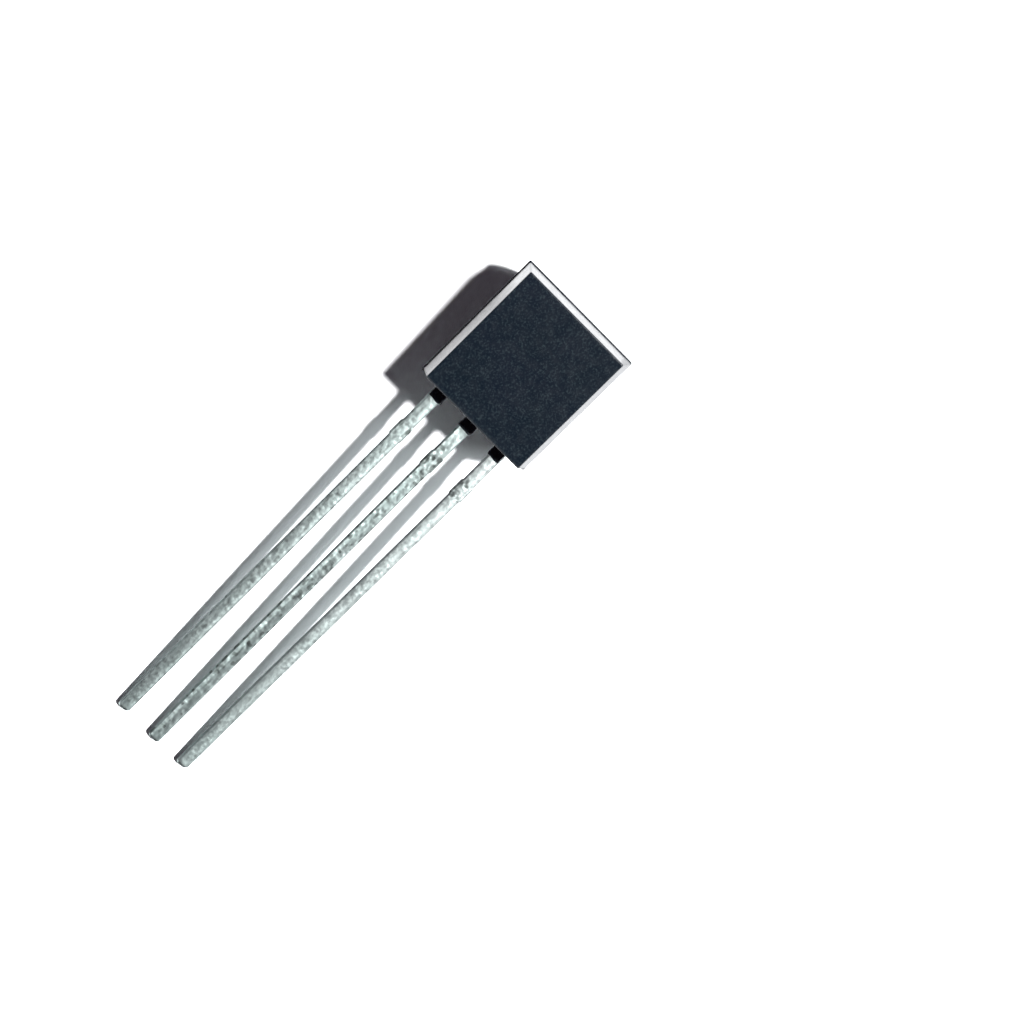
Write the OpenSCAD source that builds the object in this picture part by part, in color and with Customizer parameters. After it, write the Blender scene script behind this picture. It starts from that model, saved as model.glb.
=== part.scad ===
// Three-lead small-signal transistor in the D-shaped moulded package with
// straight leads, lying at rest on a flat surface with its flat face up: the
// bottom edge of the round back and the three lead tips touch the surface.
// Units are millimetres.
//
// Each piece is drawn upright: leads down, flat face towards -Y, the middle of
// the lead thickness at y = 0, the bottom of the moulding at z = 0 and the
// middle lead at x = 0. lay_down() then brings all pieces to the resting
// position, with the leads towards -X and the origin on the surface, below
// the middle of the whole part.

/* [Moulding] */
// Width across the round back, which is a half circle about the lead plane
body_w = 4.3; // [4.2:0.05:4.7]
// Height of the moulding, measured at the parting line
body_h = 4.6; // [4.4:0.05:4.8]
// Distance from the flat face to the middle of the leads
flat_depth = 1.25; // [1.15:0.05:1.4]
// Draft of the two side walls of the front half, in degrees
side_draft = 9.5; // [5:0.5:12]
// Draft of the two ends of the front half, in degrees
front_draft = 4; // [2:1:8]
// Draft of the two ends of the round back half, in degrees
back_draft = 4; // [3:1:10]
// How far the back half stands out past the front half at the parting line
mould_step = 0.035; // [0.01:0.005:0.06]

/* [Resin collars round the leads] */
// Length of the resin collar below the moulding
collar_len = 0.4; // [0.1:0.02:0.5]
// Width of the resin collar
collar_w = 0.54; // [0.5:0.02:0.7]
// Thickness of the resin collar, across the flats of the lead
collar_t = 0.47; // [0.46:0.01:0.56]

/* [Leads] */
// Spacing of neighbouring leads
lead_pitch = 1.27; // [1.25:0.01:1.3]
// Width of a lead
lead_w = 0.43; // [0.38:0.01:0.48]
// Thickness of a lead, the gauge of the lead frame
lead_t = 0.38; // [0.36:0.01:0.44]
// Length of the leads below the moulding
lead_len = 14.15; // [12.7:0.05:14.5]
// Bevel along the long edges of a lead
lead_edge = 0.03; // [0.02:0.005:0.06]

/* [Dambar stubs] */
// Distance from the moulding to the upper end of the cut dambar stub
stub_start = 1.45; // [1:0.05:2]
// Length of the cut dambar stub along the lead
stub_len = 0.6; // [0.5:0.05:1]
// How far the stub stands out at each side of the lead
stub_out = 0.035; // [0.02:0.005:0.06]

/* [Inside of the lead frame] */
// Width of the die paddle on the collector lead
paddle_w = 1.9; // [1.6:0.1:2.2]
// Height of the lower edge of the paddle above the bottom of the moulding
paddle_z = 2.15; // [2.05:0.05:2.3]
// Length of the paddle
paddle_h = 1.6; // [1.4:0.1:1.7]
// Width of the bonding post on an outer lead
post_w = 1.05; // [0.8:0.05:1.1]
// Height of the lower edge of the post above the bottom of the moulding
post_z = 1.15; // [1:0.05:1.2]
// Length of the post along the lead
post_h = 0.65; // [0.5:0.05:0.7]

/* [Die] */
// Side of the square silicon die
die_side = 0.42; // [0.35:0.01:0.5]
// Thickness of the silicon die
die_t = 0.2; // [0.15:0.01:0.25]
// Thickness of the die attach layer
attach_t = 0.03; // [0.02:0.005:0.05]
// How far the die attach spreads past each edge of the die
attach_rim = 0.04; // [0.02:0.01:0.08]

/* [Bond wires] */
// Diameter of a bond wire
wire_d = 0.03; // [0.025:0.005:0.05]
// Height of the loop above the line from pad to post
wire_rise = 0.26; // [0.2:0.02:0.36]
// Diameter of the ball on the die
ball_d = 0.085; // [0.07:0.005:0.1]
// Diameter of the foot on the post
foot_d = 0.07; // [0.06:0.005:0.09]

/* [Hidden] */

R = body_w / 2;
eps = 0.5;                                   // overlap of the halves and of cutting solids
front_drop = mould_step + flat_depth * tan(front_draft);  // the flat face is this much shorter at each end
flat_w = body_w - 2 * (mould_step + flat_depth * tan(side_draft));  // width of the flat face
back_drop = R * tan(back_draft);             // and the rim of the round back this much

// Resting position: the lead tips and the bottom edge of the back touch z = 0
lie = atan((R - lead_t / 2) / (lead_len + back_drop));
far_low = lead_len * cos(lie) + lead_t / 2 * sin(lie);
far_high = max(body_h * cos(lie), (body_h - back_drop) * cos(lie) + R * sin(lie));
lift = lead_len * sin(lie) + lead_t / 2 * cos(lie);

// Die stack, measured towards the flat face
pad_y = -lead_t / 2;
die_y = pad_y - attach_t;
top_y = die_y - die_t;
die_z = paddle_z + 0.62;                     // middle of the die
pad_out = die_side * 0.23;                   // bond pads, off the middle of the die
post_x = lead_pitch - 0.2;                   // middle of the bonding post
sides = 8;

module lay_down() {
    translate([(far_low - far_high) / 2, 0, lift])
        rotate([0, -lie, 0]) rotate([-90, 0, -90]) children();
}

// ---- moulding ----

// Front half: a block with drafted side walls and ends behind the flat face
module front_half() {
    w = R - mould_step;
    intersection() {
        linear_extrude(height = body_h)
            polygon([[-flat_w / 2, -flat_depth], [flat_w / 2, -flat_depth], [w, 0],
                     [w - eps, eps], [eps - w, eps], [-w, 0]]);
        rotate([90, 0, 90]) translate([0, 0, -R]) linear_extrude(height = body_w)
            polygon([[-flat_depth, front_drop], [0, mould_step], [eps, eps],
                     [eps, body_h - eps], [0, body_h - mould_step],
                     [-flat_depth, body_h - front_drop]]);
    }
}

// Back half: a half cylinder with drafted ends
module back_half() {
    intersection() {
        cylinder(r = R, h = body_h, $fn = 96);
        rotate([90, 0, 90]) translate([0, 0, -R - eps])
            linear_extrude(height = body_w + 2 * eps)
                polygon([[0, 0], [R + eps, back_drop + eps * tan(back_draft)],
                         [R + eps, body_h - back_drop - eps * tan(back_draft)],
                         [0, body_h]]);
    }
}

module collar(x) {
    translate([x - collar_w / 2, -collar_t / 2, -collar_len])
        cube([collar_w, collar_t, collar_len + 0.2]);
}

module epoxy_body() {
    color([0.10, 0.13, 0.16]) lay_down() difference() {
        union() {
            front_half();
            back_half();
            for (i = [-1:1]) collar(i * lead_pitch);
        }
        outer_lead(-1);
        collector_lead();
        outer_lead(1);
        attach_block();
        die_block();
        wire_loop(-1);
        wire_loop(1);
    }
}

// ---- lead frame ----

// Straight lead with bevelled edges, its middle at x, up to height top
module stem(x, top) {
    w = lead_w / 2;
    t = lead_t / 2;
    e = lead_edge;
    translate([x, 0, -lead_len]) linear_extrude(height = lead_len + top)
        polygon([[-w + e, -t], [w - e, -t], [w, -t + e], [w, t - e],
                 [w - e, t], [-w + e, t], [-w, t - e], [-w, -t + e]]);
}

// What is left of the bar that joined the leads before they were cut free
module stub(x) {
    translate([x - lead_w / 2 - stub_out, -lead_t / 2 + lead_edge, -stub_start - stub_len])
        cube([lead_w + 2 * stub_out, lead_t - 2 * lead_edge, stub_len]);
}

// Plate of the frame's thickness with cut corners, from z = low upwards
module plate(x, w, low, h, cut) {
    translate([x, lead_t / 2, low]) rotate([90, 0, 0]) linear_extrude(height = lead_t)
        polygon([[-w / 2 + cut, 0], [w / 2 - cut, 0], [w / 2, cut], [w / 2, h - cut],
                 [w / 2 - cut, h], [-w / 2 + cut, h], [-w / 2, h - cut], [-w / 2, cut]]);
}

// side is -1 for the emitter lead and 1 for the base lead
module outer_lead(side) {
    union() {
        stem(side * lead_pitch, post_z + post_h / 2);
        stub(side * lead_pitch);
        plate(side * post_x, post_w, post_z, post_h, 0.08);
    }
}

module collector_lead() {
    union() {
        stem(0, paddle_z + paddle_h / 2);
        stub(0);
        plate(0, paddle_w, paddle_z, paddle_h, 0.15);
    }
}

module lead_emitter() {
    color([0.80, 0.82, 0.81]) lay_down() outer_lead(-1);
}

module lead_collector() {
    color([0.80, 0.82, 0.81]) lay_down() collector_lead();
}

module lead_base() {
    color([0.80, 0.82, 0.81]) lay_down() outer_lead(1);
}

// ---- die ----

module attach_block() {
    a = die_side + 2 * attach_rim;
    translate([-a / 2, die_y, die_z - a / 2]) cube([a, attach_t, a]);
}

module die_block() {
    translate([-die_side / 2, top_y, die_z - die_side / 2])
        cube([die_side, die_t, die_side]);
}

module silicon_die() {
    color([0.28, 0.29, 0.33]) lay_down() die_block();
}

module die_attach() {
    color([0.66, 0.66, 0.64]) lay_down() attach_block();
}

// ---- bond wires ----

// The loop is half an ellipse, upright on the die and on the post.
// Each entry is the angle along the loop and the radius there.
function loop_steps() = concat(
    [[0, ball_d / 2], [5, ball_d / 2], [8, wire_d / 2]],
    [for (a = [18:12:162]) [a, wire_d / 2]],
    [[173, wire_d / 2], [176, foot_d / 2], [180, foot_d / 2]]);

function loop_point(p, q, a) = let (s = (1 - cos(a)) / 2)
    p + (q - p) * s - [0, wire_rise * sin(a), 0];

function loop_way(p, q, a) = let (v = (q - p) * sin(a) / 2 - [0, wire_rise * cos(a), 0])
    v / norm(v);

// side is -1 for the emitter wire and 1 for the base wire
module wire_loop(side) {
    p = [side * pad_out, top_y, die_z + side * pad_out];
    q = [side * (post_x - 0.08), pad_y, post_z + post_h / 2];
    flat_way = [q[0] - p[0], 0, q[2] - p[2]] / norm([q[0] - p[0], 0, q[2] - p[2]]);
    b = cross([0, 1, 0], flat_way);
    steps = loop_steps();
    n = len(steps);
    points = [for (s = steps) let (t = loop_way(p, q, s[0]), c = loop_point(p, q, s[0]), u = cross(b, t))
        for (k = [0:sides - 1]) c + s[1] * (cos(k * 360 / sides) * u + sin(k * 360 / sides) * b)];
    tube = [for (i = [0:n - 2]) for (k = [0:sides - 1]) let (m = (k + 1) % sides)
        [i * sides + k, (i + 1) * sides + k, (i + 1) * sides + m, i * sides + m]];
    start = [[for (k = [0:sides - 1]) k]];
    finish = [[for (k = [0:sides - 1]) n * sides - 1 - k]];
    polyhedron(points = points, faces = concat(start, tube, finish));
}

module bond_wire_emitter() {
    color([0.88, 0.70, 0.30]) lay_down() wire_loop(-1);
}

module bond_wire_base() {
    color([0.88, 0.70, 0.30]) lay_down() wire_loop(1);
}

epoxy_body();
lead_emitter();
lead_collector();
lead_base();
silicon_die();
die_attach();
bond_wire_emitter();
bond_wire_base();
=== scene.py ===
import math

import bpy
import numpy as np
from mathutils import Matrix, Vector


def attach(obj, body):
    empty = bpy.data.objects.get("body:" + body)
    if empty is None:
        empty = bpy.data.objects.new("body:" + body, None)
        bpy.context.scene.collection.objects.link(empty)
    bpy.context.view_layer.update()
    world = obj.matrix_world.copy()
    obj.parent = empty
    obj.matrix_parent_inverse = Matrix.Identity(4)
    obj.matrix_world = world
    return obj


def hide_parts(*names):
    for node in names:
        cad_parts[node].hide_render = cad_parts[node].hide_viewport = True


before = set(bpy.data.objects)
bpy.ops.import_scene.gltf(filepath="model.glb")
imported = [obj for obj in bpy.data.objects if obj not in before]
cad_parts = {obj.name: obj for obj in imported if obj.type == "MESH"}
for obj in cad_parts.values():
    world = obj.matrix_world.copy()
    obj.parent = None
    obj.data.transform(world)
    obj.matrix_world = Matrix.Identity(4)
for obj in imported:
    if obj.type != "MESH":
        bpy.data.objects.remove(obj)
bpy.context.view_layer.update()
MM = 0.001

# ------------------------------------------------------------------
# The part's own dimensions, in millimetres, as in the CAD source.
# Local frame: leads down, flat face towards -y, lead plane at y = 0,
# bottom of the moulding at z = 0, middle lead at x = 0.
# ------------------------------------------------------------------
R, BODY_H, FLAT = 2.15, 4.6, 1.25
SIDE_TAN, FRONT_TAN, BACK_TAN = (math.tan(math.radians(a)) for a in (9.5, 4, 4))
LEFT_TAN = math.tan(math.radians(10.7))
MOULD_STEP = 0.035
LEAD_W, LEAD_T, LEAD_LEN, PITCH = 0.43, 0.38, 14.15, 1.27
BACK_DROP = R * BACK_TAN
LIE = math.atan((R - LEAD_T / 2) / (LEAD_LEN + BACK_DROP))
CT, ST = math.cos(LIE), math.sin(LIE)
FAR_LOW = LEAD_LEN * CT + LEAD_T / 2 * ST
FAR_HIGH = max(BODY_H * CT, (BODY_H - BACK_DROP) * CT + R * ST)
SHIFT_X, SHIFT_Z = (FAR_LOW - FAR_HIGH) / 2, LEAD_LEN * ST + LEAD_T / 2 * CT


def to_row(p):
    """Local millimetres to the row frame in metres."""
    p = np.asarray(p, float).reshape(-1, 3)
    x, y, z = p.T
    return np.c_[z * CT + y * ST + SHIFT_X, -x, z * ST - y * CT + SHIFT_Z] * MM


# ------------------------------------------------------------------
# Seeded noise on points, the same in every run
# ------------------------------------------------------------------
def hashed(ix, iy, iz, seed):
    h = (ix.astype(np.int64) * 73856093) ^ (iy.astype(np.int64) * 19349663) ^ (iz.astype(np.int64) * 83492791) ^ (seed * 2654435761)
    h = (h & 0xFFFFFFFF).astype(np.uint64)
    h = ((h ^ (h >> np.uint64(16))) * np.uint64(0x45D9F3B)) & np.uint64(0xFFFFFFFF)
    h = ((h ^ (h >> np.uint64(16))) * np.uint64(0x45D9F3B)) & np.uint64(0xFFFFFFFF)
    h = h ^ (h >> np.uint64(16))
    return h.astype(np.float64) / 4294967295.0


def value_noise(p, size, seed):
    """Smooth noise from 0 to 1 with features of about size."""
    q = np.asarray(p, float) / size
    i = np.floor(q)
    f = q - i
    f = f * f * f * (f * (f * 6 - 15) + 10)
    i = i.astype(np.int64)
    out = np.zeros(len(q))
    for dx in (0, 1):
        for dy in (0, 1):
            for dz in (0, 1):
                w = (f[:, 0] if dx else 1 - f[:, 0]) * (f[:, 1] if dy else 1 - f[:, 1]) * (f[:, 2] if dz else 1 - f[:, 2])
                out += w * hashed(i[:, 0] + dx, i[:, 1] + dy, i[:, 2] + dz, seed)
    return out


def cell_noise(p, size, seed):
    """Distance to the nearest of one jittered point per cell, from 0 to about 1."""
    q = np.asarray(p, float) / size
    i = np.floor(q).astype(np.int64)
    best = np.full(len(q), 9.0)
    for dx in (-1, 0, 1):
        for dy in (-1, 0, 1):
            for dz in (-1, 0, 1):
                c = i + np.array([dx, dy, dz])
                s = np.c_[hashed(c[:, 0], c[:, 1], c[:, 2], seed), hashed(c[:, 0], c[:, 1], c[:, 2], seed + 11),
                          hashed(c[:, 0], c[:, 1], c[:, 2], seed + 23)]
                best = np.minimum(best, np.linalg.norm(c + s - q, axis=1))
    return best


def step(x, lo, hi):
    t = np.clip((x - lo) / (hi - lo), 0, 1)
    return t * t * (3 - 2 * t)


# ------------------------------------------------------------------
# Meshes from rings of points
# ------------------------------------------------------------------
def ring_faces(n_rings, n, first=0):
    a = np.arange(n)
    b = (a + 1) % n
    out = []
    for r in range(n_rings - 1):
        o = first + r * n
        out.append(np.c_[o + a, o + b, o + n + b, o + n + a])
    return np.vstack(out)


def make_mesh(name, verts, quads, tris=(), attributes=None, smooth=True):
    mesh = bpy.data.meshes.new(name)
    faces = [tuple(map(int, f)) for f in quads] + [tuple(map(int, f)) for f in tris]
    mesh.from_pydata([tuple(v) for v in verts], [], faces)
    mesh.update()
    if smooth:
        mesh.shade_smooth()
    for key, values in (attributes or {}).items():
        a = mesh.attributes.new(key, "FLOAT", "POINT")
        a.data.foreach_set("value", np.asarray(values, np.float32))
    obj = bpy.data.objects.new(name, mesh)
    bpy.context.scene.collection.objects.link(obj)
    return obj


def vertex_normals(verts, quads, tris):
    n = np.zeros_like(verts)
    q = np.asarray(quads, int)
    fn = np.cross(verts[q[:, 2]] - verts[q[:, 0]], verts[q[:, 3]] - verts[q[:, 1]])
    for k in range(4):
        np.add.at(n, q[:, k], fn)
    if len(tris):
        t = np.asarray(tris, int)
        fn = np.cross(verts[t[:, 1]] - verts[t[:, 0]], verts[t[:, 2]] - verts[t[:, 0]])
        for k in range(3):
            np.add.at(n, t[:, k], fn)
    return n / np.maximum(np.linalg.norm(n, axis=1, keepdims=True), 1e-12)


# ------------------------------------------------------------------
# Nodes for the materials
# ------------------------------------------------------------------
class Nodes:
    def __init__(self, name):
        self.mat = bpy.data.materials.new(name)
        self.mat.use_nodes = True
        self.tree = self.mat.node_tree
        self.tree.nodes.clear()
        self.out = self.tree.nodes.new("ShaderNodeOutputMaterial")
        self.bsdf = self.tree.nodes.new("ShaderNodeBsdfPrincipled")
        self.tree.links.new(self.bsdf.outputs[0], self.out.inputs["Surface"])
        self.coord = self.tree.nodes.new("ShaderNodeTexCoord")

    def link(self, a, b):
        self.tree.links.new(a, b)

    def set(self, **values):
        for k, v in values.items():
            self.bsdf.inputs[k.replace("_", " ")].default_value = v

    def noise(self, scale, detail=3.0, rough=0.5, distortion=0.0, vector=None):
        n = self.tree.nodes.new("ShaderNodeTexNoise")
        n.inputs["Scale"].default_value = scale
        n.inputs["Detail"].default_value = detail
        n.inputs["Roughness"].default_value = rough
        n.inputs["Distortion"].default_value = distortion
        self.link(vector or self.coord.outputs["Object"], n.inputs["Vector"])
        return n.outputs["Fac"]

    def voronoi(self, scale, feature="F1", vector=None):
        n = self.tree.nodes.new("ShaderNodeTexVoronoi")
        n.feature = feature
        n.inputs["Scale"].default_value = scale
        self.link(vector or self.coord.outputs["Object"], n.inputs["Vector"])
        return n.outputs["Distance"]

    def stretch(self, scale):
        n = self.tree.nodes.new("ShaderNodeMapping")
        n.inputs["Scale"].default_value = scale
        self.link(self.coord.outputs["Object"], n.inputs["Vector"])
        return n.outputs["Vector"]

    def attribute(self, name):
        n = self.tree.nodes.new("ShaderNodeAttribute")
        n.attribute_name = name
        return n.outputs["Fac"]

    def ramp(self, fac, stops, to=None):
        n = self.tree.nodes.new("ShaderNodeValToRGB")
        e = n.color_ramp.elements
        while len(e) < len(stops):
            e.new(0.5)
        for k, (pos, col) in enumerate(stops):
            e[k].position = pos
            e[k].color = (*col, 1.0)
        self.link(fac, n.inputs["Fac"])
        if to is not None:
            self.link(n.outputs["Color"], to)
        return n.outputs["Color"]

    def range(self, fac, a, b, c, d):
        n = self.tree.nodes.new("ShaderNodeMapRange")
        for k, v in zip(("From Min", "From Max", "To Min", "To Max"), (a, b, c, d)):
            n.inputs[k].default_value = v
        self.link(fac, n.inputs["Value"])
        return n.outputs["Result"]

    def math(self, op, a, b):
        n = self.tree.nodes.new("ShaderNodeMath")
        n.operation = op
        for k, v in enumerate((a, b)):
            if isinstance(v, (int, float)):
                n.inputs[k].default_value = v
            else:
                self.link(v, n.inputs[k])
        return n.outputs["Value"]

    def mix(self, fac, a, b):
        n = self.tree.nodes.new("ShaderNodeMix")
        n.data_type = "RGBA"
        for sock, v in ((n.inputs["Factor"], fac), (n.inputs["A"], a), (n.inputs["B"], b)):
            if isinstance(v, (int, float)):
                sock.default_value = v
            elif isinstance(v, tuple):
                sock.default_value = (*v, 1.0)
            else:
                self.link(v, sock)
        return n.outputs["Result"]

    def bump(self, height, distance, strength=1.0, normal=None):
        n = self.tree.nodes.new("ShaderNodeBump")
        n.inputs["Strength"].default_value = strength
        n.inputs["Distance"].default_value = distance
        self.link(height, n.inputs["Height"])
        if normal is not None:
            self.link(normal, n.inputs["Normal"])
        return n.outputs["Normal"]


# ------------------------------------------------------------------
# Camera and light
# ------------------------------------------------------------------
cam_data = bpy.data.cameras.new("camera")
cam = bpy.data.objects.new("camera", cam_data)
bpy.context.scene.collection.objects.link(cam)
bpy.context.scene.camera = cam
cam_data.sensor_width = 36.0
cam_data.lens = 76.506
cam_data.clip_start, cam_data.clip_end = 0.001, 10.0
cam.matrix_world = Matrix((
    (0.70950738, 0.70367619, 0.03793545, 0.006041824),
    (-0.70444596, 0.70678555, 0.06488516, 0.001438083),
    (0.01884591, -0.07275998, 0.99717141, 0.067211437),
    (0, 0, 0, 1),
))

bpy.context.scene.view_settings.view_transform = "Standard"


def sun(name, toward, energy, degrees, color=(1, 1, 1)):
    data = bpy.data.lights.new(name, "SUN")
    data.energy = energy
    data.angle = math.radians(degrees)
    data.color = color
    obj = bpy.data.objects.new(name, data)
    bpy.context.scene.collection.objects.link(obj)
    obj.rotation_mode = "QUATERNION"
    obj.rotation_quaternion = Vector(toward).to_track_quat("Z", "Y")


sun("key_light", (0.314, -0.330, 1.0), 10.4, 4.6)
sun("soft_light", (0.42, -0.60, 1.0), 1.42, 20.0, (0.90, 0.99, 1.0))

world = bpy.data.worlds.new("studio")
bpy.context.scene.world = world
world.use_nodes = True
wt = world.node_tree
wt.nodes.clear()
w_out = wt.nodes.new("ShaderNodeOutputWorld")
w_bg = wt.nodes.new("ShaderNodeBackground")
w_co = wt.nodes.new("ShaderNodeTexCoord")
w_sep = wt.nodes.new("ShaderNodeSeparateXYZ")
w_ramp = wt.nodes.new("ShaderNodeValToRGB")
wt.links.new(w_co.outputs["Generated"], w_sep.inputs[0])
wt.links.new(w_sep.outputs["Z"], w_ramp.inputs["Fac"])
wt.links.new(w_ramp.outputs["Color"], w_bg.inputs["Color"])
wt.links.new(w_bg.outputs[0], w_out.inputs["Surface"])
e = w_ramp.color_ramp.elements
e[0].position, e[0].color = 0.0, (0.90, 0.90, 0.92, 1)
e[1].position, e[1].color = 1.0, (0.026, 0.016, 0.027, 1)
m = e.new(0.17); m.color = (0.66, 0.66, 0.69, 1)
m = e.new(0.22); m.color = (0.028, 0.018, 0.030, 1)
w_bg.inputs["Strength"].default_value = 1.0

# floor
floor_mesh = bpy.data.meshes.new("floor")
s = 3.0
floor_mesh.from_pydata([(-s, -s, 0), (s, -s, 0), (s, s, 0), (-s, s, 0)], [], [(0, 1, 2, 3)])
floor = bpy.data.objects.new("floor", floor_mesh)
bpy.context.scene.collection.objects.link(floor)
fm = Nodes("floor_paper")
fm.set(Roughness=0.9, Specular_IOR_Level=0.2)
fm.ramp(fm.noise(400.0, 2.0), [(0.3, (0.79, 0.79, 0.80)), (0.7, (0.81, 0.81, 0.82))], fm.bsdf.inputs["Base Color"])
floor_mesh.materials.append(fm.mat)


# ------------------------------------------------------------------
# Small mesh tools
# ------------------------------------------------------------------
def weld(verts, faces):
    """Join equal points; a face that loses a corner becomes a triangle or goes."""
    keys = np.round(np.asarray(verts) / 1e-5).astype(np.int64)
    _, first, inverse = np.unique(keys, axis=0, return_index=True, return_inverse=True)
    inverse = inverse.reshape(-1)
    quads, tris = [], []
    for f in faces:
        g = []
        for k in inverse[np.asarray(f)]:
            if not g or g[-1] != k:
                g.append(int(k))
        if len(g) > 1 and g[0] == g[-1]:
            g.pop()
        if len(g) == 4 and len(set(g)) == 4:
            quads.append(g)
        elif len(g) == 3 and len(set(g)) == 3:
            tris.append(g)
    return np.asarray(verts)[first], np.array(quads, int), np.array(tris, int).reshape(-1, 3)


def outward(verts, quads, tris):
    """The same faces, turned so that they face out."""
    t = np.vstack([quads[:, [0, 1, 2]], quads[:, [0, 2, 3]], tris])
    a, b, c = verts[t[:, 0]], verts[t[:, 1]], verts[t[:, 2]]
    if np.einsum("ij,ij->i", a, np.cross(b, c)).sum() < 0:
        return quads[:, ::-1], tris[:, ::-1]
    return quads, tris


# ------------------------------------------------------------------
# Epoxy case: rounded rectangles stacked from the flat face to the back
# ------------------------------------------------------------------
EDGE = 0.042     # rounding of the moulding's edges
LIP = 0.008      # rounding of the parting step
N_LONG, N_WIDE, N_CORNER = 92, 72, 5


def half_width(y, d=0.0):
    """Half the width of the moulding at depth y, on a wall moved inwards by d."""
    if y < 0:
        return R - MOULD_STEP + y * SIDE_TAN - d
    return math.sqrt(max((R - d) ** 2 - y * y, 0.0))


def seat(verts):
    """The two mould halves do not meet exactly: the front one sits a little to the right."""
    x, y = verts[:, 0].copy(), verts[:, 1]
    front = np.clip(-y / 0.004, 0, 1)
    side = np.clip(np.abs(x) / 1.5, 0, 1)
    right = 0.032 * front
    left = y * (LEFT_TAN - SIDE_TAN) * front
    verts[:, 0] = x + np.where(x > 0, right, -left) * side
    return verts


def end_drop(y):
    return MOULD_STEP - y * FRONT_TAN if y < 0 else y * BACK_TAN


def case_ring(y, inset=0.0, step_in=0.0):
    """Closed ring of points in the plane at depth y, from the bottom middle of the right wall round."""
    r = max(EDGE - inset, 0.0)
    drop = end_drop(y) + inset + step_in
    start = 0.0
    if y > R - EDGE:
        start = math.asin(min(max(1 - (R - y) / r, 0.0), 1.0))
    corner = []
    for k in range(N_CORNER):
        a = start + (math.pi / 2 - start) * k / (N_CORNER - 1)
        corner.append((max(half_width(y, r * (1 - math.sin(a))) - inset - step_in, 0.0), drop + r * (1 - math.cos(a))))
    corner = np.array(corner)
    x_end, z_end = corner[0]
    x_side, z_side = corner[-1]
    right = [(x_side, z) for z in np.linspace(z_side, BODY_H - z_side, N_LONG + 1)[1:-1]]
    top = [(x, BODY_H - z_end) for x in np.linspace(x_end, -x_end, N_WIDE + 1)[1:-1]]
    pts = list(corner) + right + [(x, BODY_H - z) for x, z in corner[::-1]] + top
    pts = pts + [(-x, BODY_H - z) for x, z in corner] + [(-x, BODY_H - z) for x, z in right] + \
        [(-x, z) for x, z in corner[::-1]] + [(-x, BODY_H - z) for x, z in top]
    pts = np.array(pts)
    return np.c_[pts[:, 0], np.full(len(pts), y), pts[:, 1]]


rings = []
for k in range(6):
    a = math.pi / 2 * k / 6
    rings.append(case_ring(-FLAT + EDGE * (1 - math.cos(a)), EDGE * (1 - math.sin(a))))
for y in np.linspace(-FLAT + EDGE, -0.012, 26):
    rings.append(case_ring(y))
rings.append(case_ring(-0.003))
rings.append(case_ring(-1e-4, 0.0, 0.002))
for k in range(5):
    a = math.pi / 2 * k / 4
    rings.append(case_ring(LIP * (1 - math.cos(a)) + 1e-4, 0.0, LIP * (1 - math.sin(a))))
last = math.asin((R - EDGE) / R)
for t in np.linspace(0.02, last, 54):
    rings.append(case_ring(R * math.sin(t)))
for t in np.linspace(last, math.pi / 2, 8)[1:]:
    rings.append(case_ring(R * math.sin(t)))
n_ring = len(rings[0])
verts = np.vstack(rings)
faces = [tuple(f) for f in ring_faces(len(rings), n_ring)]
# the flat face is a plain grid between the first ring's corners
x0, z0 = rings[0][:, 0].max(), rings[0][:, 2].min()
base = len(verts)
gx = np.linspace(-x0, x0, N_WIDE + 1)
gz = np.linspace(z0, BODY_H - z0, N_LONG + 1)
grid = np.array([(x, -FLAT, z) for z in gz for x in gx])
verts = np.vstack([verts, grid])
for j in range(N_LONG):
    for i in range(N_WIDE):
        o = base + j * (N_WIDE + 1) + i
        faces.append((o, o + 1, o + N_WIDE + 2, o + N_WIDE + 1))
# face order of the grid has to agree with the rings
test = np.cross(verts[faces[0][1]] - verts[faces[0][0]], verts[faces[0][3]] - verts[faces[0][0]])
mid = verts[list(faces[0])].mean(0) - np.array([0, 0, BODY_H / 2])
if np.dot(test, mid) > 0:
    ring_out = True
else:
    ring_out = False
n_side = (len(rings) - 1) * n_ring
if not ring_out:
    faces[:n_side] = [f[::-1] for f in faces[:n_side]]
g0 = faces[n_side]
if np.cross(verts[g0[1]] - verts[g0[0]], verts[g0[3]] - verts[g0[0]])[1] > 0:
    faces[n_side:] = [f[::-1] for f in faces[n_side:]]
verts, quads, tris = weld(verts, faces)
verts = seat(verts)

# slight unevenness of the moulding
normals = vertex_normals(verts, quads, tris)
wave = value_noise(verts, 0.9, 5) * 0.6 + value_noise(verts, 0.35, 6) * 0.25
grain = value_noise(verts, 0.12, 7)
verts = verts - normals * (0.0030 * wave + 0.0010 * grain)[:, None]
flatness = step(-verts[:, 1], FLAT - 0.03, FLAT - 0.008)
right_wall = step(verts[:, 0], R - 0.35, R - 0.3) * (1 - flatness) * step(-verts[:, 1], 0.0, 0.02)
end_z = np.where(verts[:, 1] < 0, 0.035 - verts[:, 1] * math.tan(math.radians(4)), verts[:, 1] * math.tan(math.radians(4)))
low_end = 1 - step(verts[:, 2] - end_z, 0.02, 0.06)
body = make_mesh("epoxy_case", to_row(verts), quads, tris, {"face": flatness, "worn": right_wall, "low_end": low_end})


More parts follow.
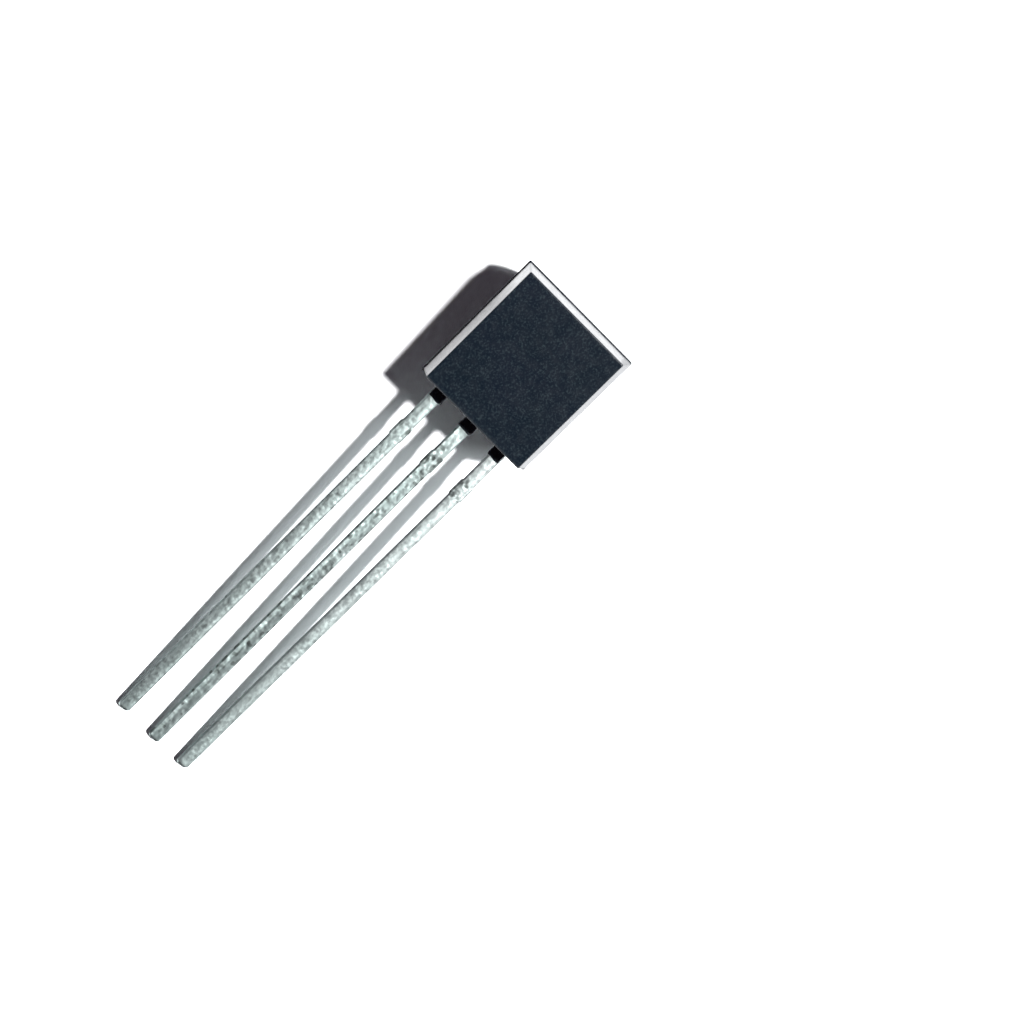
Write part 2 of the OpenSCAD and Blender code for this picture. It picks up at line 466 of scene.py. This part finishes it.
def collar(x, w, t, seed):
    """Short rough sleeve of resin round a lead, rounded at its lower end."""
    r = 0.05
    def outline(inset, z):
        out = []
        for cx, cy, a0, ex, ey in ((w / 2 - r, t / 2 - r, 0, -w / 2 + r, t / 2 - r), (-w / 2 + r, t / 2 - r, 90, -w / 2 + r, -t / 2 + r),
                                   (-w / 2 + r, -t / 2 + r, 180, w / 2 - r, -t / 2 + r), (w / 2 - r, -t / 2 + r, 270, w / 2 - r, t / 2 - r)):
            for a in np.radians(np.linspace(a0, a0 + 90, 5)):
                out.append((cx + (r - inset) * math.cos(a), cy + (r - inset) * math.sin(a)))
            a = math.radians(a0 + 90)
            for s_ in np.linspace(0, 1, 10)[1:-1]:
                out.append((cx + (ex - cx) * s_ + (r - inset) * math.cos(a), cy + (ey - cy) * s_ + (r - inset) * math.sin(a)))
        out = np.array(out)
        return np.c_[out[:, 0] + x, out[:, 1], np.full(len(out), z)]
    rr = [outline(r * (1 - math.sin(a)), -0.40 + r * (1 - math.cos(a))) for a in np.linspace(0, math.pi / 2, 6)]
    rr += [outline(0, z) for z in np.linspace(-0.40 + r, 0.30, 20)[1:]]
    m_ = len(rr[0])
    v = np.vstack(rr + [rr[0].mean(0)[None], rr[-1].mean(0)[None]])
    q = ring_faces(len(rr), m_)
    a = np.arange(m_)
    c0 = len(rr) * m_
    t_ = np.vstack([np.c_[np.full(m_, c0), (a + 1) % m_, a], np.c_[np.full(m_, c0 + 1), c0 - m_ + a, c0 - m_ + (a + 1) % m_]])
    q, t_ = outward(v, q, t_)
    nn = vertex_normals(v, q, t_)
    v = v - nn * ((value_noise(v, 0.19, seed) * 0.040 + value_noise(v, 0.08, seed + 7) * 0.016) * (1 - step(v[:, 2], 0.05, 0.15)))[:, None]
    return make_mesh("sleeve", to_row(v), q, t_, {"face": np.full(len(v), 0.9), "worn": np.ones(len(v)), "low_end": np.zeros(len(v))})


# the sleeves are one with the case
for x, w, seed in ((-1.235, 0.52, 31), (0.03, 0.55, 32), (1.235, 0.50, 33)):
    sleeve = collar(x, w, 0.46, seed)
    joined = body.modifiers.new("join", "BOOLEAN")
    joined.operation, joined.solver, joined.object = "UNION", "EXACT", sleeve
    bpy.context.view_layer.update()
    mesh = bpy.data.meshes.new_from_object(body.evaluated_get(bpy.context.evaluated_depsgraph_get()))
    body.modifiers.clear()
    body.data = mesh
    bpy.data.objects.remove(sleeve)
body.data.name = "epoxy_case"
body.data.shade_smooth()

em = Nodes("moulded_epoxy")
face = em.attribute("face")
fine = em.noise(16000.0, 4.0, 0.6)
middle = em.noise(3500.0, 3.0, 0.5)
blotch = em.noise(500.0, 2.0, 0.5)
tone = em.mix(blotch, (0.0003, 0.0030, 0.0052), (0.0014, 0.0030, 0.0072))
speck = em.range(fine, 0.50, 0.72, 0.0, 1.0)
col = em.mix(speck, tone, (0.0110, 0.0172, 0.0208))
em.link(col, em.bsdf.inputs["Base Color"])
rough = em.math("ADD", em.range(face, 0.0, 1.0, 0.24, 0.215), em.range(middle, 0.3, 0.7, -0.02, 0.03))
rough = em.math("ADD", rough, em.range(em.attribute("worn"), 0.0, 1.0, 0.0, 0.12))
rough = em.math("ADD", rough, em.range(em.attribute("low_end"), 0.0, 1.0, 0.0, 0.32))
em.link(rough, em.bsdf.inputs["Roughness"])
em.set(IOR=1.55, Specular_IOR_Level=0.5)
depth = em.range(face, 0.0, 1.0, 0.3, 1.0)
em.link(em.bump(em.math("MULTIPLY", middle, depth), 0.000006, 0.5, em.bump(em.math("MULTIPLY", fine, depth), 0.000003, 0.5)),
        em.bsdf.inputs["Normal"])
body.data.materials.clear()
body.data.materials.append(em.mat)
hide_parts("epoxy_body")
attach(body, "root")


# ------------------------------------------------------------------
# Leads
# ------------------------------------------------------------------
STUB0, STUB1 = -2.05, -1.45


def lead(side, seed, slopes, bend, grit, across, spots):
    w, t2 = LEAD_W / 2, LEAD_T / 2
    tip = -LEAD_LEN
    prof = []                      # (z, left, right, thickness factor)
    r_tip = 0.14
    for k in range(0, 13):
        a = math.pi / 2 * k / 12
        d = r_tip * (1 - math.sin(a))
        prof.append((tip + r_tip * (1 - math.cos(a)), -w + d, w - d, 1 - (1 - math.sin(a)) * 0.30))
    for z in np.arange(tip + r_tip + 0.025, 0.1, 0.025):
        o = 0.033 * (step(z, STUB0 - 0.02, STUB0 + 0.05) * (1 - step(z, STUB1 - 0.05, STUB1 + 0.02)))
        prof.append((z, -w - o, w + o, 1))
    if side == 0:
        pl, pr, z0, z1, cut = -0.95, 0.95, 2.15, 3.75, 0.15
    else:
        c = -side * 0.2
        pl, pr, z0, z1, cut = c - 0.525, c + 0.525, 1.15, 1.8, 0.08
    for z in np.arange(0.15, z0 - 0.05, 0.08):
        prof.append((z, -w, w, 1))
    prof.append((z0 - 0.002, -w, w, 1))
    prof.append((z0 + 0.002, pl + cut, pr - cut, 1))
    prof.append((z0 + cut, pl, pr, 1))
    for z in np.linspace(z0 + cut, z1 - cut, 14)[1:]:
        prof.append((z, pl, pr, 1))
    prof.append((z1 - 0.004, pl + cut, pr - cut, 1))

    def section(l, r, bevels):
        """Closed outline: flat faces, each long edge bevelled and then sharp."""
        (bl, al), (br, ar) = bevels
        steps = np.array([0.2, 0.4, 0.6, 0.8, 1.0])

        def edge(bevel, angle):
            ex = np.r_[0.0, 0.006, 0.012, 0.012 + (bevel - 0.012) * steps]
            ey = np.r_[0.0, 0.0008, 0.0032, 0.0032 + (bevel - 0.012) * steps * math.tan(math.radians(angle))]
            return ex, ey
        rx, ry = edge(br, ar)
        lx, ly = edge(bl, al)
        right = [(r - rx[-1] + x, -t2 + y) for x, y in zip(rx, ry)]
        right += [(r, y) for y in (-t2 + ry[-1] + 0.004, *np.linspace(-t2 + 0.065, t2 - 0.065, 7), t2 - ry[-1] - 0.004)]
        right += [(r - rx[-1] + x, t2 - y) for x, y in zip(rx[::-1], ry[::-1])]
        back = [(x, t2) for x in np.linspace(r - rx[-1], l + lx[-1], 11)[1:-1]]
        left = [(l + lx[-1] - x, t2 - y) for x, y in zip(lx, ly)]
        left += [(l, y) for y in (t2 - ly[-1] - 0.004, *np.linspace(t2 - 0.065, -t2 + 0.065, 7), -t2 + ly[-1] + 0.004)]
        left += [(l + lx[-1] - x, -t2 + y) for x, y in zip(lx[::-1], ly[::-1])]
        front = [(x, -t2) for x in np.linspace(l + lx[-1], r - rx[-1], 21)[1:-1]]
        sharp = (7, 17, 8 + 9 + 8 + 9 + 7, 8 + 9 + 8 + 9 + 8 + 9)
        return np.array(right + back + left + front), sharp
    rr = []
    for z, l, r, thick in prof:
        sec, sharp = section(l, r, ((0.075, 30), (0.045, 36)) if z < 0.5 else ((0.02, 36), (0.02, 36)))
        sec[:, 1] *= thick
        # the stamped lead is narrower underneath
        under = 0.12 * (1 - step(z, -0.4, -0.15)) * np.clip((sec[:, 1] + t2 - 0.075) / (2 * t2 - 0.075), 0, 1) ** 1.1
        sec[:, 0] = (l + r) / 2 + (sec[:, 0] - (l + r) / 2) * (1 - under / ((r - l) / 2))
        rr.append(np.c_[sec, np.full(len(sec), z)])
    cz = rr[0].mean(0)
    rr = [cz + (rr[0] - cz) * s_ for s_ in (0.3, 0.6, 0.85)] + rr
    m_ = len(rr[0])
    v = np.vstack(rr + [cz[None], rr[-1].mean(0)[None]])
    q = ring_faces(len(rr), m_)
    a = np.arange(m_)
    c0 = len(rr) * m_
    t = np.vstack([np.c_[np.full(m_, c0), (a + 1) % m_, a], np.c_[np.full(m_, c0 + 1), c0 - m_ + a, c0 - m_ + (a + 1) % m_]])
    q, t = outward(v, q, t)
    nn = vertex_normals(v, q, t)
    outside = 1 - step(v[:, 2], -0.15, 0.1)
    pits = 1 - np.clip(cell_noise(v * [1, 1, 0.8], 0.24, seed) * 2.4, 0, 1)
    lump = value_noise(v * [1, 1, 0.28], 0.16, seed + 1)
    fine = value_noise(v * [1, 1, 0.85], 0.11, seed + 2)
    lines = value_noise(v * [0.12, 0.3, 1], 0.10, seed + 3)
    coarse = value_noise(v, 0.125, seed + 4)
    stub = step(v[:, 2], STUB0 - 0.12, STUB0 + 0.02) * (1 - step(v[:, 2], STUB1 - 0.02, STUB1 + 0.12))
    dent = 0.35 * np.clip((coarse - 0.50) * 2.8, 0, 1) * stub
    for sx, sz, rx, rz, deep in spots:
        reach = np.hypot((v[:, 0] - sx) / rx, (v[:, 2] - sz) / rz) + 1.3 * (coarse - 0.5) + 0.9 * (fine - 0.5)
        dent = np.maximum(dent, deep * (1 - step(reach, 0.35, 1.5)) * (v[:, 1] < 0))
    h = 0.0050 * pits ** 2 * grit + 0.0045 * lump + 0.0060 * fine * grit + 0.0040 * lines * across + 0.0075 * dent
    marks = np.clip((value_noise(v * [1, 1, 0.7], 0.095, seed + 5) - 0.64) * 5, 0, 1)
    # random marks are duller tin; the dents are also painted darker, as shade in the hollows
    dull_marks_and_dent_shade = np.clip(1.0 * dent + 0.45 * marks * grit, 0, 1)
    v = v - nn * (h * outside * (0.25 + 0.75 * np.abs(nn[:, 1])))[:, None]
    # the cut sides are duller than the rolled faces, and the end of the tip is painted dark as shade
    ring = np.arange(len(v)) % m_
    cut_side = np.where((ring >= 8) & (ring <= 16), 1.0, np.where((ring >= 42) & (ring <= 50), 0.85, 0.0))
    cut_side[c0:] = 1.0
    end = 1 - step(v[:, 2], tip + 0.02, tip + 0.12)
    # the upper face is not quite flat: it leans to both sides
    front = (v[:, 1] < 0) * outside
    far = np.clip(-v[:, 2] / LEAD_LEN, 0, 1)
    t_ = np.clip((v[:, 0] + w - 0.075) / (2 * w - 0.12), 0, 1)
    grid_t = np.linspace(0, 1, 41)
    crown = np.zeros(len(v))
    for q_ in (0.0, 0.25, 0.5, 0.75, 1.0):
        lean = slopes(grid_t, q_)
        depth_ = np.r_[0, np.cumsum((lean[1:] + lean[:-1]) / 2)] * (2 * w - 0.12) / 40
        depth_ -= depth_.min()
        crown += np.clip(1 - np.abs(far - q_) / 0.25, 0, 1) * np.interp(t_, grid_t, depth_)
    v[:, 1] += crown * front * np.where(np.abs(v[:, 1]) > 0.1, 1, np.abs(v[:, 1]) / 0.1)
    if side == 0:
        v[:, 0] += 0.012
    v[:, 1] = np.maximum(v[:, 1], -LEAD_T / 2)
    near_tip = 1 - step(v[:, 2], tip + 0.05, tip + 0.4)
    v[:, 2] += near_tip * np.clip(0.12 * (v[:, 0] + 0.2) * (1 if side else -0.6), 0, 0.05)
    v[:, 0] += side * PITCH + bend * np.clip(-v[:, 2] / LEAD_LEN, 0, 1) ** 1.5
    return v, q, t, m_, sharp, dull_marks_and_dent_shade * outside, cut_side, end


lm = Nodes("bright_tin")
mottle = lm.noise(9000.0, 3.0, 0.6)
patch = lm.noise(900.0, 3.0, 0.55)
grit_fac = lm.noise(22000.0, 3.0, 0.6)
tin = lm.mix(patch, (0.52, 0.67, 0.635), (0.79, 0.90, 0.875))
# painted highlight: the tin is mixed towards white, most on the right lead and near the case, less towards the tips
tin = lm.mix(lm.attribute("painted_highlight"), tin, (0.97, 1.0, 0.99))
# duller tin in random marks, plus painted shade in the dents near the stubs
tin = lm.mix(lm.attribute("dull_marks_and_dent_shade"), tin, (0.17, 0.20, 0.19))
tin = lm.mix(lm.attribute("cut_side"), tin, lm.mix(patch, (0.165, 0.195, 0.19), (0.25, 0.285, 0.28)))
# painted shade: the last tenth of a millimetre of each tip is mixed to near-black
lm.link(lm.mix(lm.attribute("end"), tin, (0.085, 0.105, 0.10)), lm.bsdf.inputs["Base Color"])
lm.link(lm.range(mottle, 0.3, 0.7, 0.30, 0.41), lm.bsdf.inputs["Roughness"])
lm.set(Metallic=1.0)
lm.link(lm.bump(mottle, 0.000005, 0.8, lm.bump(grit_fac, 0.000003, 0.4)), lm.bsdf.inputs["Normal"])


def left_slopes(t, far):
    return -0.11 - 0.04 * far + (0.20 - 0.02 * far) * t ** (1 + 0.9 * far) + 0.30 * step(t, 0.70, 1.0)


def middle_slopes(t, far):
    low = step(far, 0.25, 0.6)
    return 0.06 + 0.08 * low - (0.09 + 0.17 * low) * step(t, 0.22, 0.42) + 0.10 * step(t, 0.85, 1.0)


def right_slopes(t, far):
    return -0.155 + 0.37 * t + 0.22 * step(t, 0.65, 1.0)


# dents near the cut stubs: x, z, half width, half length, strength
left_spots = ((-0.17, -1.60, 0.06, 0.14, 0.8), (0.165, -1.63, 0.065, 0.20, 1.0), (-0.02, -1.09, 0.06, 0.14, 0.35),
              (0.02, -1.50, 0.10, 0.05, 0.35))
middle_spots = ((-0.165, -1.79, 0.065, 0.15, 1.0), (-0.03, -1.65, 0.06, 0.10, 0.8), (0.15, -1.55, 0.055, 0.12, 0.8),
                (0.165, -1.87, 0.06, 0.11, 1.0), (0.06, -2.25, 0.11, 0.06, 0.7), (0.16, -2.36, 0.05, 0.15, 0.7))
right_spots = ((-0.08, -1.44, 0.06, 0.08, 0.9), (0.04, -1.56, 0.08, 0.06, 0.8), (-0.17, -1.62, 0.055, 0.16, 1.0),
               (-0.02, -1.84, 0.07, 0.09, 0.6), (-0.13, -2.02, 0.08, 0.06, 0.8), (0.08, -2.03, 0.06, 0.08, 0.6))

# last number but one: strength of the painted highlight on each lead
for name, node, side, seed, slopes, bend, grit, across, painted_highlight, spots in (
        ("tinned_lead_left", "lead_emitter", -1, 101, left_slopes, -0.007, 0.85, 0.4, 0.14, left_spots),
        ("tinned_lead_middle", "lead_collector", 0, 202, middle_slopes, 0.029, 1.6, 0.2, 0.05, middle_spots),
        ("tinned_lead_right", "lead_base", 1, 303, right_slopes, -0.025, 0.4, 0.7, 0.42, right_spots)):
    v, q, t, m_, sharp, dull_marks_and_dent_shade, cut_side, end = lead(side, seed, slopes, bend, grit, across, spots)
    o = make_mesh(name, to_row(v), q, t, {"painted_highlight": painted_highlight * (1 + v[:, 2] / LEAD_LEN * 0.9), "dull_marks_and_dent_shade": dull_marks_and_dent_shade, "cut_side": cut_side, "end": end})
    ends = np.zeros(len(o.data.edges) * 2, np.int64)
    o.data.edges.foreach_get("vertices", ends)
    ends = ends.reshape(-1, 2)
    along = (ends[:, 0] % m_ == ends[:, 1] % m_) & np.isin(ends[:, 0] % m_, sharp) & (ends.max(1) < len(v) - 2)
    mark = o.data.attributes.new("sharp_edge", "BOOLEAN", "EDGE")
    mark.data.foreach_set("value", along)
    o.data.materials.append(lm.mat)
    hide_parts(node)
    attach(o, "root")

# ------------------------------------------------------------------
# Sealed inner pieces keep their CAD shape
# ------------------------------------------------------------------
def give(node, mat):
    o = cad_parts[node]
    o.data.materials.clear()
    o.data.materials.append(mat)


sm = Nodes("polished_silicon")
sm.ramp(sm.noise(20000.0, 2.0), [(0.4, (0.20, 0.21, 0.25)), (0.6, (0.27, 0.28, 0.32))], sm.bsdf.inputs["Base Color"])
sm.link(sm.range(sm.noise(60000.0, 2.0), 0.3, 0.7, 0.12, 0.22), sm.bsdf.inputs["Roughness"])
sm.set(Metallic=0.6)
give("silicon_die", sm.mat)
am = Nodes("silver_filled_adhesive")
am.ramp(am.noise(90000.0, 3.0), [(0.35, (0.48, 0.48, 0.46)), (0.65, (0.72, 0.72, 0.70))], am.bsdf.inputs["Base Color"])
am.link(am.range(am.noise(50000.0, 2.0), 0.3, 0.7, 0.35, 0.6), am.bsdf.inputs["Roughness"])
am.set(Metallic=0.8)
give("die_attach", am.mat)
gm = Nodes("drawn_gold")
gm.ramp(gm.noise(40000.0, 2.0), [(0.35, (0.80, 0.56, 0.20)), (0.65, (0.92, 0.68, 0.28))], gm.bsdf.inputs["Base Color"])
gm.link(gm.range(gm.noise(120000.0, 2.0), 0.3, 0.7, 0.15, 0.3), gm.bsdf.inputs["Roughness"])
gm.set(Metallic=1.0)
give("bond_wire_emitter", gm.mat)
give("bond_wire_base", gm.mat)
